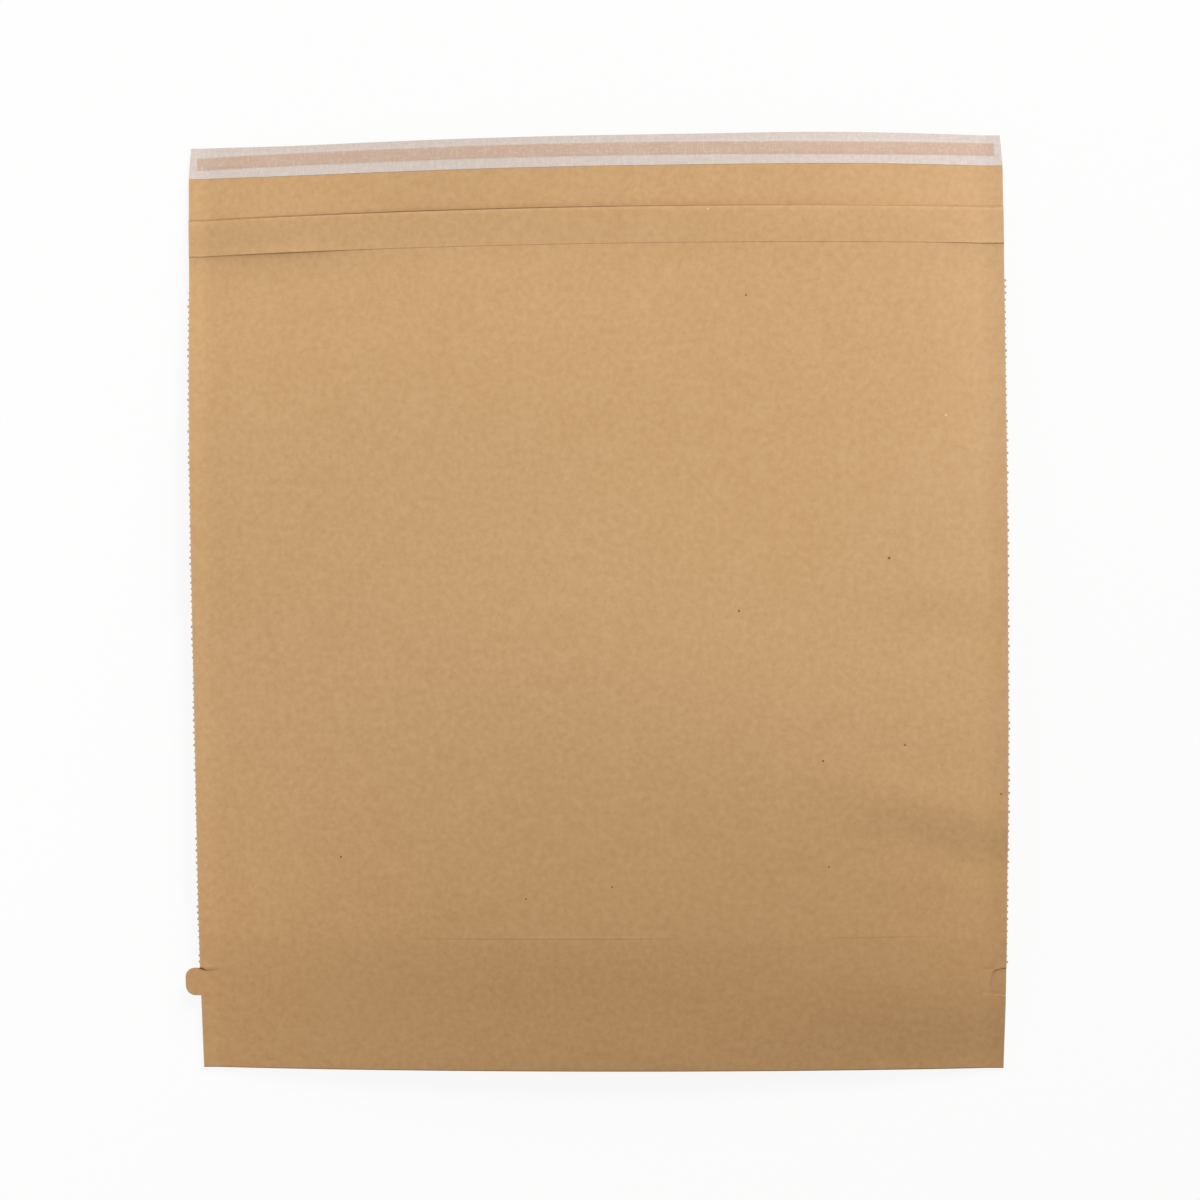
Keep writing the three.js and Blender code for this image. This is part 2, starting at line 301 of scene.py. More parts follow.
def editWhere(item, test):
    # go into edit mode with only the vertices that pass the test selected
    bpy.context.view_layer.objects.active = item
    bpy.ops.object.mode_set(mode="EDIT")
    bpy.ops.mesh.select_mode(type="VERT")
    bpy.ops.mesh.select_all(action="DESELECT")
    bpy.ops.object.mode_set(mode="OBJECT")
    for vertex in item.data.vertices:
        vertex.select = test(vertex.co)
    bpy.ops.object.mode_set(mode="EDIT")


def addGrid(name, rows, middle, width, depth, columns=sheet["columns"]):
    # a flat grid, its place and size put into its mesh
    deselectAll()
    bpy.ops.mesh.primitive_grid_add(x_subdivisions=columns, y_subdivisions=rows, size=1, location=middle)
    grid = bpy.context.active_object
    grid.name = name
    bpy.ops.object.mode_set(mode="EDIT")
    bpy.ops.transform.resize(value=(width, depth, 1), center_override=middle)
    bpy.ops.object.mode_set(mode="OBJECT")
    bpy.ops.object.transform_apply(location=True, rotation=True, scale=True)
    return grid


def extrudeBy(x, y, z):
    bpy.ops.mesh.extrude_region_move(TRANSFORM_OT_translate={"value": (x, y, z)})


def thicken(item, thickness, degrees=35):
    # the single layer gets the paper's or film's thickness, and smooth shading over its small angles
    deselectAll()
    item.select_set(True)
    bpy.context.view_layer.objects.active = item
    modifier = item.modifiers.new("Solidify", "SOLIDIFY")
    modifier.thickness = thickness
    modifier.offset = 0
    bpy.ops.object.modifier_apply(modifier=modifier.name)
    bpy.ops.object.shade_smooth_by_angle(angle=math.radians(degrees))


def evenSteps(start, end, step):
    count = max(1, round(abs(end - start) / step))
    return [start + (end - start) * (i + 1) / count for i in range(count)]


def plyRows(ply, start, end, step):
    return [(y, ply) for y in evenSteps(start, end, step)]


def foldTurn(y, ply, towards):
    # half turn from one ply to the next, in flat-stack steps
    turn = []
    for i in range(1, sheet["foldSteps"] + 1):
        angle = math.pi * i / sheet["foldSteps"]
        turn.append((y + towards * sheet["foldSize"] * math.sin(angle), ply + (1 - math.cos(angle)) / 2))
    return turn


def sheetWalk():
    # the sheet's way from the flap's end round every fold to the hem's free edge: (y, ply)
    lowY = bottomY + sheet["foldSize"]
    highY = gussetTopY - sheet["foldSize"]
    lipY = mouthY - sheet["foldSize"]
    ridgeY = hemEdgeY - sheet["ridgeRows"]
    aboveLipY = tabHigh + tab["lipRows"]
    walk = plyRows(backPly, flapEndY, mouthY, sheet["flapStep"])
    walk += plyRows(backPly, mouthY, lowY, sheet["backStep"])
    walk += foldTurn(lowY, backPly, -1)
    walk += plyRows(lowerPly, lowY, highY, sheet["gussetStep"])
    walk += foldTurn(highY, lowerPly, 1)
    walk += plyRows(upperPly, highY, lowY, sheet["gussetStep"])
    walk += foldTurn(lowY, upperPly, -1)
    walk += [(lowY + rise, frontPly) for rise in sheet["foldRows"]]
    walk += plyRows(frontPly, lowY + sheet["foldRows"][-1], tabLow - tab["rootRow"], sheet["frontStep"])
    walk += [(tabLow, frontPly)]
    walk += plyRows(frontPly, tabLow, tabHigh, tab["rowStep"])
    walk += [(slitTopY, frontPly)]
    walk += plyRows(frontPly, slitTopY, aboveLipY, tab["lipStep"])
    walk += plyRows(frontPly, aboveLipY, gussetTopY, sheet["frontStep"])
    walk += plyRows(frontPly, gussetTopY, ridgeY, sheet["frontStep"])
    walk += plyRows(frontPly, ridgeY, hemEdgeY, sheet["ridgeStep"])
    walk += plyRows(frontPly, hemEdgeY, lipY, sheet["frontStep"])
    walk += foldTurn(lipY, frontPly, 1)
    walk += plyRows(hemPly, lipY, hemEdgeY, sheet["hemStep"])
    return walk


def foldSheet():
    # a strip at the flap's end, extruded row by row along the walk, flat and with every ply at its own level
    middleY = flapEndY - sheet["firstRow"] / 2
    bag = addGrid("kraftBag", 1, (0, middleY, 0), 2 * halfWidth, sheet["firstRow"])
    editWhere(bag, lambda co: co.y < middleY)
    y, ply = flapEndY - sheet["firstRow"], backPly
    for nextY, nextPly in sheetWalk():
        extrudeBy(0, nextY - y, (nextPly - ply) * sheet["flatLevel"])
        y, ply = nextY, nextPly
    bpy.ops.object.mode_set(mode="OBJECT")
    return bag


def pullTab(bag):
    # the thumb tab is drawn out of the front sheet's left edge and rounded off
    frontZ = frontPly * sheet["flatLevel"]
    editWhere(
        bag,
        lambda co: co.x < -halfWidth + touch
        and tabLow - touch < co.y < tabHigh + touch
        and abs(co.z - frontZ) < touch,
    )
    straight = tab["reach"] - tab["corner"]
    extrudeBy(-straight, 0, 0)
    half = tab["height"] / 2
    reach = straight
    flat = half - tab["corner"]
    for i in range(1, tab["steps"] + 1):
        angle = math.pi / 2 * i / tab["steps"]
        nextReach = straight + tab["corner"] * math.sin(angle)
        nextHalf = flat + tab["corner"] * math.cos(angle)
        extrudeBy(reach - nextReach, 0, 0)
        bpy.ops.transform.resize(value=(1, nextHalf / half, 1), center_override=(0, tabY, frontZ))
        reach, half = nextReach, nextHalf
    bpy.ops.object.mode_set(mode="OBJECT")


def cutSlit(bag):
    # one narrow face is taken out at the tab's upper root
    frontZ = frontPly * sheet["flatLevel"]
    editWhere(
        bag,
        lambda co: -halfWidth - touch < co.x < -halfWidth + columnWidth + touch
        and tabHigh - touch < co.y < slitTopY + touch
        and abs(co.z - frontZ) < touch,
    )
    bpy.ops.mesh.select_mode(type="FACE")
    bpy.ops.mesh.delete(type="FACE")
    bpy.ops.object.mode_set(mode="OBJECT")


def cutFront(x, y):
    # in plan: the edge gives way to the notch, and the rows at the slit lean down with it
    depth = tabReachAt(y)
    fromEdge = halfWidth - x
    if depth > 0 and fromEdge < tab["notchPull"]:
        x -= depth * (1 - fromEdge / tab["notchPull"])
    inward = x + halfWidth
    off = abs(y - tabHigh)
    if 0 < inward < tab["slitFade"] and off < tab["slitReach"]:
        run = min(inward, columnWidth)
        fade = 1 - smoothStep(columnWidth, tab["slitFade"], inward)
        near = 1 - smoothStep(0, tab["slitReach"], off)
        y -= tab["slitSlope"] * run * fade * near
    return x, y


def lipRise(x, y):
    # the paper just above the slit stands up a little
    inward = (x + halfWidth) / tab["lipReach"]
    above = (y - tabHigh) / tab["lipReach"]
    return tab["lipLift"] * (1 - inward) * (1 - above) ** 2 if inward < 1 and 0 < above < 1 else 0.0


def drape(bag):
    # every vertex of the flat stack is cut in plan and goes to its height; a fold's lie between two plies
    for vertex in bag.data.vertices:
        x, y, z = vertex.co
        ply = z / sheet["flatLevel"]
        onFront = abs(ply - frontPly) < 0.1
        lip = lipRise(x, y) if onFront else 0.0
        if ply > frontPly - 0.4:
            x, y = cutFront(x, y)
        x *= taperAt(y)
        lower = min(hemPly, max(backPly, math.floor(ply + touch)))
        share = ply - lower
        height = plyHeight(lower, x, y)
        if share > touch:
            height += (plyHeight(min(hemPly, lower + 1), x, y) - height) * share
        if onFront:
            height -= tab["notchPress"] * bump(x, y, halfWidth, tabY, *tab["pressReach"])
        y += endWave(x, y)
        vertex.co = (x, y, height + lip)


# torn ties of the side perforation
nib = {
    "seed": 11,
    "pitch": 0.0035,
    "jitter": 0.0002,
    "reach": 0.00075,
    "width": 0.0020,
    "tip": 0.45,  # the tip's width and thickness, as shares
    "thinning": 0.7,
    "root": 0.0005,
    "thickness": 0.00016,
    "usual": (0.3, 0.95),  # how much of the reach most ties keep
    "strong": 1.3,
    "strongShare": 0.12,  # ties that tore longer
    "breadth": (0.7, 0.3),  # width that all have, and width that grows with the reach
    "belowMouth": 0.035,
}


def tearNibs():
    # one torn tie is modelled, then copied along both edges of the front and the back sheet
    random.seed(nib["seed"])
    bpy.ops.mesh.primitive_cube_add(size=1, location=(0, 0, 0))
    master = bpy.context.active_object
    bpy.ops.object.mode_set(mode="EDIT")
    long = nib["reach"] + nib["root"]
    bpy.ops.transform.resize(value=(long, nib["width"], nib["thickness"]))
    bpy.ops.object.mode_set(mode="OBJECT")
    editWhere(master, lambda co: co.x > 0)
    bpy.ops.transform.resize(value=(1, nib["tip"], nib["thinning"]))
    bpy.ops.object.mode_set(mode="OBJECT")
    shapes = [tuple(vertex.co) for vertex in master.data.vertices]
    copies = []
    count = int((mouthY - nib["belowMouth"] - tabHigh) / nib["pitch"])
    always, growing = nib["breadth"]
    for side in (-1, 1):
        for ply in (backPly, frontPly):
            for i in range(1, count):
                y = tabHigh + i * nib["pitch"] + random.uniform(-nib["jitter"], nib["jitter"])
                strong = random.uniform(*nib["usual"])
                if random.random() < nib["strongShare"]:
                    strong = nib["strong"]
                piece = master.copy()
                piece.data = master.data.copy()
                height = plyHeight(ply, side * halfWidth, y)
                for vertex, (x, dy, dz) in zip(piece.data.vertices, shapes):
                    out = (x + long / 2 - nib["root"]) * (strong if x > 0 else 1)
                    vertex.co = (side * (halfWidth + out), y + dy * (always + growing * strong), height + dz)
                scene.collection.objects.link(piece)
                if side < 0:
                    piece.data.flip_normals()
                copies.append(piece)
    bpy.data.objects.remove(master)
    return copies


def makeBag():
    bag = foldSheet()
    pullTab(bag)
    cutSlit(bag)
    drape(bag)
    thicken(bag, sheet["paper"])
    copies = tearNibs()
    deselectAll()
    for piece in copies:
        piece.select_set(True)
    bag.select_set(True)
    bpy.context.view_layer.objects.active = bag
    bpy.ops.object.join()
    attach(bag, "root")
    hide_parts("paper_bag")
    print("kraft bag:", len(bag.data.polygons), "faces")
    return bag


# the peel-and-seal strip on the flap
strip = {
    "liner": 0.00005,
    "band": 0.00004,
    "gap": 0.00001,
    "shoulder": 0.0007,  # the liner eases over the band's edges
    "shoulderRows": (-1.5, -1, 0, 1, 1.5),  # rows at each edge, in shoulders
    "rimRow": 0.0005,
    "taper": 0.0014,
    "bandRows": 4,
}


def layStrip(name, endX, ys, lift, thickness):
    # a flat ribbon on the sheet's own columns, cut across at the given lines, then laid on the flap
    middleY = (ys[0] + ys[1]) / 2
    ribbon = addGrid(name, 1, (0, middleY, 0), 2 * halfWidth, ys[1] - ys[0])
    editWhere(ribbon, lambda co: co.y > middleY)
    for low, high in zip(ys[1:], ys[2:]):
        extrudeBy(0, high - low, 0)
    bpy.ops.object.mode_set(mode="OBJECT")
    lastColumn = math.floor(endX / columnWidth + 0.01) * columnWidth
    editWhere(ribbon, lambda co: abs(co.x) > lastColumn + touch)
    bpy.ops.mesh.delete(type="VERT")
    bpy.ops.object.mode_set(mode="OBJECT")
    if endX - lastColumn > touch:
        for side in (-1, 1):
            editWhere(ribbon, lambda co: co.x * side > lastColumn - touch)
            extrudeBy(side * (endX - lastColumn), 0, 0)
            bpy.ops.object.mode_set(mode="OBJECT")
    for vertex in ribbon.data.vertices:
        x, y, _ = vertex.co
        x *= taperAt(y)
        height = backHeight(x, y) + sheet["paper"] / 2 + lift(y) + thickness / 2
        vertex.co = (x, y + endWave(x, y), height)
    thicken(ribbon, thickness)
    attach(ribbon, "root")
    return ribbon


def makeAdhesive():
    low, high = bandBox[0][1], bandBox[1][1]
    ys = [low + (high - low) * i / strip["bandRows"] for i in range(strip["bandRows"] + 1)]
    ribbon = layStrip("adhesiveBand", bandBox[1][0], ys, lambda y: strip["gap"], strip["band"])
    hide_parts("adhesive_strip")
    print("adhesive band laid")
    return ribbon


def makeLiner():
    low, high = linerBox[0][1], linerBox[1][1]
    bandLow, bandHigh = bandBox[0][1], bandBox[1][1]
    edge = strip["shoulder"]
    ys = [low, low + 2 * strip["rimRow"], (low + bandLow) / 2]
    ys += [bandLow + edge * row for row in strip["shoulderRows"]]
    ys += [(bandLow + bandHigh) / 2]
    ys += [bandHigh + edge * row for row in strip["shoulderRows"]]
    ys += [high - strip["rimRow"], high]

    def lift(y):
        rising = smoothStep(bandLow - edge, bandLow + edge, y)
        over = rising * (1 - smoothStep(bandHigh - edge, bandHigh + edge, y))
        return strip["gap"] + (strip["gap"] + strip["band"]) * over

    ribbon = layStrip("releaseLiner", halfWidth, ys, lift, strip["liner"])
    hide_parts("release_liner")
    print("release liner laid")
    return ribbon


# the tear tape under the front sheet
tearStrip = {"thickness": 0.00006, "leftInset": 0.0005, "rows": 4}


def makeTape():
    # it lies in the gap between the front sheet and the ply below, out of sight
    left, right = tapeBox[0][0] + tearStrip["leftInset"], tapeBox[1][0]
    depth = tapeBox[1][1] - tapeBox[0][1]
    tape = addGrid("tearTape", tearStrip["rows"], ((left + right) / 2, tabY, 0), right - left, depth)
    for vertex in tape.data.vertices:
        x, y, _ = vertex.co
        vertex.co.z = frontHeight(x, y) - sheet["plyPitch"] / 2
    thicken(tape, tearStrip["thickness"])
    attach(tape, "root")
    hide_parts("tear_tape")
    print("tear tape laid")
    return tape


# colours of the paper, liner and film in even light, sRGB, with the painted shade and sheen tints
colours = {
    "kraft": "CCA373",
    "kraftDark": "C09667",
    "kraftLight": "D8B284",
    # painted sheen tint for the upper right
    "paintedSheenTint": "D1B495",
    # painted shade tint, deepening the paper towards the bottom
    "paintedShadeTint": "FBF5EE",
    "fibre": "B58A5B",
    "speck": "5F4429",
    "paleSpeck": "EBD7B8",
    "tornRim": "D4B99C",
    # painted shade for the fold lines, the notch's ring and the bottom folds
    "creaseShade": "AF8B5F",
    # painted shade for the mouth fold
    "foldShade": "6F5437",
    # painted shade for the slit
    "slitShade": "743F1E",
    "liner": "DCCFC6",
    "linerDark": "CCBDB2",
    "linerLight": "F0E6DE",
    "throughLiner": "C8A58B",
    "glue": "D9B38C",
    "film": "E6DDD0",
    "floor": "F2F1EF",
}


def linear(name):
    text = colours[name]
    values = [int(text[i : i + 2], 16) / 255 for i in (0, 2, 4)]
    return tuple(v / 12.92 if v <= 0.04045 else ((v + 0.055) / 1.055) ** 2.4 for v in values) + (1.0,)


def addNode(tree, kind, settings=None, links=None):
    node = tree.nodes.new(kind)
    for key, value in (settings or {}).items():
        if isinstance(key, int) or key in node.inputs:
            node.inputs[key].default_value = value
        else:
            setattr(node, key, value)
    for socket, source in (links or {}).items():
        tree.links.new(source, node.inputs[socket])
    return node


def newMaterial(name, look):
    material = bpy.data.materials.new(name)
    material.use_nodes = True
    tree = material.node_tree
    shader = tree.nodes["Principled BSDF"]
    shader.inputs["Roughness"].default_value = look["roughness"]
    shader.inputs["Specular IOR Level"].default_value = look["specular"]
    coords = tree.nodes.new("ShaderNodeTexCoord").outputs["Object"]
    return material, tree, shader, coords


def blendColour(tree, factor, first, second, way="MIX"):
    # Mix node in colour mode: sockets 0, 6 and 7 are Factor, A and B
    node = addNode(tree, "ShaderNodeMix", {"data_type": "RGBA", "blend_type": way})
    for socket, value in ((0, factor), (6, first), (7, second)):
        if isinstance(value, (tuple, float, int)):
            node.inputs[socket].default_value = value
        else:
            tree.links.new(value, node.inputs[socket])
    return node.outputs[2]


def ramp(tree, source, low, high, outLow=0.0, outHigh=1.0):
    settings = {"From Min": low, "From Max": high, "To Min": outLow, "To Max": outHigh}
    return addNode(tree, "ShaderNodeMapRange", settings, {"Value": source}).outputs["Result"]


def times(tree, first, second):
    # the second may be a plain number
    if isinstance(second, float):
        return addNode(tree, "ShaderNodeMath", {"operation": "MULTIPLY", 1: second}, {0: first}).outputs[0]
    return addNode(tree, "ShaderNodeMath", {"operation": "MULTIPLY"}, {0: first, 1: second}).outputs[0]


def laidStreaks(tree, coords, turn, length, width):
    # turned first and stretched after, so that the streaks lie along the turn
    laying = {
        "vector_type": "TEXTURE",
        "Rotation": (0, 0, math.radians(turn)),
        "Scale": (length, width, 0.01),
    }
    laid = addNode(tree, "ShaderNodeMapping", laying, {"Vector": coords}).outputs["Vector"]
    return addNode(tree, "ShaderNodeTexNoise", {"Scale": 1.0, "Detail": 1.0}, {"Vector": laid}).outputs["Fac"]


def relieve(tree, shader, grain, strength, height):
    settings = {"Strength": strength, "Distance": height}
    relieved = addNode(tree, "ShaderNodeBump", settings, {"Height": grain})
    tree.links.new(relieved.outputs["Normal"], shader.inputs["Normal"])


# the kraft sheet's surface, its own marks, and the painted shade, highlight and sheen on it
kraft = {
    "roughness": 0.88,
    "specular": 0.2,
    "mottleSize": 0.0036,  # clouds of pulp, as coarse as they show from here
    "mottleShare": 0.42,
    "clumpSize": 0.022,
    "clumpShare": 0.08,
    "grainSize": 0.0016,
    "grainStrength": 0.25,
    "grainHeight": 0.00003,
    "fibreWidth": 0.0012,  # real fibres are 0.04 mm wide; drawn as coarse as a pixel so they show
    "fibreLength": 0.0045,
    "fibreTurns": (10, 70, 130),
    "fibreShare": 0.16,
    "paintedShadeY": (-0.04, -0.19),  # painted shade: the tone deepens between these Y, towards the bottom
    "paintedSheenX": (0.12, 0.225),  # painted sheen: the tone pales between these X, towards the upper right
    "paintedSheenY": (0.0, 0.08),
    "paintedSheenShare": 0.10,
    "dark": [  # shives: place and radius
        (0.1599, 0.0467, 0.00085),
        (0.0782, 0.0188, 0.00070),
        (0.1681, -0.0551, 0.00065),
        (0.1233, -0.0633, 0.00070),
        (0.0833, 0.1895, 0.00060),
        (-0.0395, -0.1388, 0.00055),
        (-0.1422, -0.1159, 0.00065),
        (0.0079, -0.1321, 0.00055),
        (0.2210, -0.0829, 0.00060),
        (0.1266, -0.1218, 0.00055),
    ],
    "darkShare": 0.8,
    "pale": [(0.1918, 0.1242, 0.00070), (0.0632, 0.2360, 0.00060)],
    "paleSpeckShare": 0.7,
    # painted shade in the slit: place along X, height over the tab's top, radius
    "slit": [(-0.2252, 0.0002, 0.0008), (-0.2240, -0.0004, 0.0008), (-0.2228, -0.0009, 0.0007)],
    "slitShare": 0.8,
    "notchShadeRing": (0.2252, 0.0088, 0.0008, 0.30),  # painted shade ring along the notch's cut: place along X, radius, half width, strength
    "paintedFoldLines": [  # painted shade and highlight lines along the folds: colour, line, below and above it, from, fade in, to, fade out, strength
        # painted shade along the gusset's inner fold where it shows through the front, and a painted
        # highlight just above it
        ("creaseShade", gussetTopY + 0.0017, 0.0005, 0.0006, -0.125, 0.06, 0.048, 0.03, 0.40),
        ("creaseShade", gussetTopY + 0.0017, 0.0005, 0.0006, 0.118, 0.02, 0.200, 0.04, 0.40),
        ("kraftLight", gussetTopY + 0.0030, 0.0005, 0.0006, -0.060, 0.03, 0.048, 0.03, 0.30),
        # painted shade along the mouth fold, where the mouth stands nearly shut
        ("foldShade", mouthY, 0.0007, 0.0008, -0.310, 0.19, 0.400, 0.45, 0.90),
    ],
    "bottomFoldShade": (0.0016, 0.0002, 0.3),  # painted shade: from and to above the bottom folds, strength
    "rimWidth": 0.0008,  # torn fibres stand pale along the cut edges
    "rimShare": 0.45,
    "rimPast": 0.0012,
    "rimSoft": 0.0003,  # not beside the tab
}


def spotAt(tree, flat, x, y, radius):
    away = addNode(tree, "ShaderNodeVectorMath", {"operation": "DISTANCE", 1: (x, y, 0)}, {0: flat})
    return ramp(tree, away.outputs["Value"], radius * 1.15, radius * 0.6)


def pulpTone(tree, coords):
    # cloudy pulp with long softwood fibres lying three ways
    dark = linear("kraftDark")
    light = linear("kraftLight")
    at = {"Vector": coords}
    cloud = addNode(tree, "ShaderNodeTexNoise", {"Scale": 1 / kraft["clumpSize"], "Detail": 2.0}, at)
    mottle = addNode(tree, "ShaderNodeTexNoise", {"Scale": 1 / kraft["mottleSize"], "Detail": 2.0}, at)
    tone = blendColour(tree, ramp(tree, mottle.outputs["Fac"], 0.25, 0.75), dark, light)
    tone = blendColour(tree, kraft["mottleShare"], linear("kraft"), tone)
    shade = blendColour(tree, ramp(tree, cloud.outputs["Fac"], 0.3, 0.7), dark, light)
    tone = blendColour(tree, kraft["clumpShare"], tone, shade)
    share = kraft["fibreShare"]
    for turn in kraft["fibreTurns"]:
        fibre = laidStreaks(tree, coords, turn, kraft["fibreLength"], kraft["fibreWidth"])
        tone = blendColour(tree, ramp(tree, fibre, 0.62, 0.78, 0, share), tone, linear("fibre"))
        tone = blendColour(tree, ramp(tree, fibre, 0.38, 0.24, 0, share), tone, light)
    return tone


def speckle(tree, tone, coords):
    # shives, the painted shade in the slit and a faint painted shade ring along the notch's cut
    flat = addNode(tree, "ShaderNodeVectorMath", {"operation": "MULTIPLY", 1: (1, 1, 0)}, {0: coords})
    flat = flat.outputs["Vector"]
    for colour, places, share in (
        ("speck", kraft["dark"], kraft["darkShare"]),
        ("paleSpeck", kraft["pale"], kraft["paleSpeckShare"]),
        ("slitShade", [(x, tabHigh + y, radius) for x, y, radius in kraft["slit"]], kraft["slitShare"]),
    ):
        for x, y, radius in places:
            spot = times(tree, spotAt(tree, flat, x, y, radius), share)
            tone = blendColour(tree, spot, tone, linear(colour))
    # painted shade ring along the notch's cut edge
    placeX, radius, half, strength = kraft["notchShadeRing"]
    away = addNode(tree, "ShaderNodeVectorMath", {"operation": "DISTANCE", 1: (placeX, tabY, 0)}, {0: flat})
    outer = ramp(tree, away.outputs["Value"], radius + half, radius)
    inner = ramp(tree, away.outputs["Value"], radius - half, radius)
    ring = times(tree, times(tree, outer, inner), strength)
    return blendColour(tree, ring, tone, linear("creaseShade"))


def paintedFoldTone(tree, tone, alongX, alongY):
    # painted shade and a painted highlight along the gusset's inner fold, and painted shade along the mouth
    # and bottom folds
    for colour, lineY, below, above, fromX, fadeIn, toX, fadeOut, strength in kraft["paintedFoldLines"]:
        low = ramp(tree, alongY, lineY - below, lineY - below * 0.6)
        high = ramp(tree, alongY, lineY + above, lineY + above * 0.6)
        begins = ramp(tree, alongX, fromX, fromX + fadeIn)
        ends = ramp(tree, alongX, toX, toX - fadeOut)
        run = times(tree, times(tree, low, high), times(tree, begins, ends))
        tone = blendColour(tree, times(tree, run, strength), tone, linear(colour))
    # painted shade along the bottom folds
    start, full, strength = kraft["bottomFoldShade"]
    pressed = ramp(tree, alongY, bottomY + start, bottomY + full, 0, strength)
    return blendColour(tree, pressed, tone, linear("creaseShade"))


def rimTone(tree, tone, alongX, alongY):
    # pale torn fibres along the two sides, but not across the tab's root
    width, past, soft = kraft["rimWidth"], kraft["rimPast"], kraft["rimSoft"]
    sideways = addNode(tree, "ShaderNodeMath", {"operation": "ABSOLUTE"}, {0: alongX}).outputs[0]
    rim = ramp(tree, sideways, halfWidth - width, halfWidth, 0, kraft["rimShare"])
    rim = times(tree, rim, ramp(tree, sideways, halfWidth + past, halfWidth + width))
    above = ramp(tree, alongY, tabLow, tabLow + soft)
    below = ramp(tree, alongY, tabHigh, tabHigh - soft)
    besideTab = times(tree, times(tree, above, below), ramp(tree, alongX, 0.0, -0.01))
    rim = times(tree, rim, ramp(tree, besideTab, 0, 1, 1, 0))
    return blendColour(tree, rim, tone, linear("tornRim"))


def kraftPaper():
    # unbleached kraft, matte, with a fine felt from the paper machine
    material, tree, shader, coords = newMaterial("unbleachedKraft", kraft)
    tone = speckle(tree, pulpTone(tree, coords), coords)
    place = addNode(tree, "ShaderNodeSeparateXYZ", {}, {"Vector": coords})
    alongX = place.outputs["X"]
    alongY = place.outputs["Y"]
    # painted shade: the paper deepens towards the bottom
    paintedShade = ramp(tree, alongY, *kraft["paintedShadeY"])
    tone = blendColour(tree, paintedShade, tone, linear("paintedShadeTint"), "MULTIPLY")
    # painted sheen: the paper pales towards the upper right, in the upper half
    paintedSheen = ramp(tree, alongX, *kraft["paintedSheenX"], 0, kraft["paintedSheenShare"])
    paintedSheen = times(tree, paintedSheen, ramp(tree, alongY, *kraft["paintedSheenY"]))
    tone = blendColour(tree, paintedSheen, tone, linear("paintedSheenTint"))
    tone = paintedFoldTone(tree, tone, alongX, alongY)
    tone = rimTone(tree, tone, alongX, alongY)
    tree.links.new(tone, shader.inputs["Base Color"])
    settings = {"Scale": 1 / kraft["grainSize"], "Detail": 2.0}
    grain = addNode(tree, "ShaderNodeTexNoise", settings, {"Vector": coords})
    relieve(tree, shader, grain.outputs["Fac"], kraft["grainStrength"], kraft["grainHeight"])
    return material


# the release liner's surface
glassine = {
    "roughness": 0.6,
    "specular": 0.25,
    "mottleSize": 0.0018,
    "mottleShare": (0.2, 0.6),
    "cloudSize": 0.012,
    "bandShare": (0.82, 0.96),  # how strongly the adhesive shows through
    "bandSoft": 0.00035,
    "threadLength": 0.0036,  # fine crossed streaks, drawn a pixel wide so they show
    "threadWidth": 0.0008,
    "darkThreads": 0.30,
    "lightThreads": 0.22,
    "grainStrength": 0.2,
    "grainHeight": 0.00003,
}


def linerPaper():
    # glassine with a silicone coat: smooth, greyish, the adhesive's tan shows through it
    material, tree, shader, coords = newMaterial("siliconeGlassine", glassine)
    at = {"Vector": coords}
    mottle = addNode(tree, "ShaderNodeTexNoise", {"Scale": 1 / glassine["mottleSize"], "Detail": 3.0}, at)
    cloud = addNode(tree, "ShaderNodeTexNoise", {"Scale": 1 / glassine["cloudSize"], "Detail": 2.0}, at)
    place = addNode(tree, "ShaderNodeSeparateXYZ", {}, at)
    sideways = addNode(tree, "ShaderNodeMath", {"operation": "ABSOLUTE"}, {0: place.outputs["X"]}).outputs[0]
    soft = glassine["bandSoft"]
    above = ramp(tree, place.outputs["Y"], bandBox[0][1] - soft, bandBox[0][1] + soft)
    below = ramp(tree, place.outputs["Y"], bandBox[1][1] + soft, bandBox[1][1] - soft)
    within = ramp(tree, sideways, bandBox[1][0] + soft, bandBox[1][0] - soft)
    band = times(tree, times(tree, above, below), within)
    dark = linear("linerDark")
    clouded = ramp(tree, mottle.outputs["Fac"], 0.3, 0.7, *glassine["mottleShare"])
    tone = blendColour(tree, clouded, linear("liner"), dark)
    uneven = ramp(tree, cloud.outputs["Fac"], 0.3, 0.7, *glassine["bandShare"])
    tone = blendColour(tree, times(tree, band, uneven), tone, linear("throughLiner"))
    for turn in (0, 90):
        thread = laidStreaks(tree, coords, turn, glassine["threadLength"], glassine["threadWidth"])
        tone = blendColour(tree, ramp(tree, thread, 0.5, 0.75, 0, glassine["darkThreads"]), tone, dark)
        pale = ramp(tree, thread, 0.5, 0.25, 0, glassine["lightThreads"])
        tone = blendColour(tree, pale, tone, linear("linerLight"))
    tree.links.new(tone, shader.inputs["Base Color"])
    relieve(tree, shader, mottle.outputs["Fac"], glassine["grainStrength"], glassine["grainHeight"])
    return material


# the adhesive's coating streaks and the film's draw lines: length, width, strength
melt = {"roughness": 0.3, "specular": 0.5, "streak": (0.02, 0.0012, 0.3), "detail": 2.0}
film = {"roughness": 0.25, "specular": 0.5, "streak": (0.05, 0.0005, 0.2), "detail": 1.0}


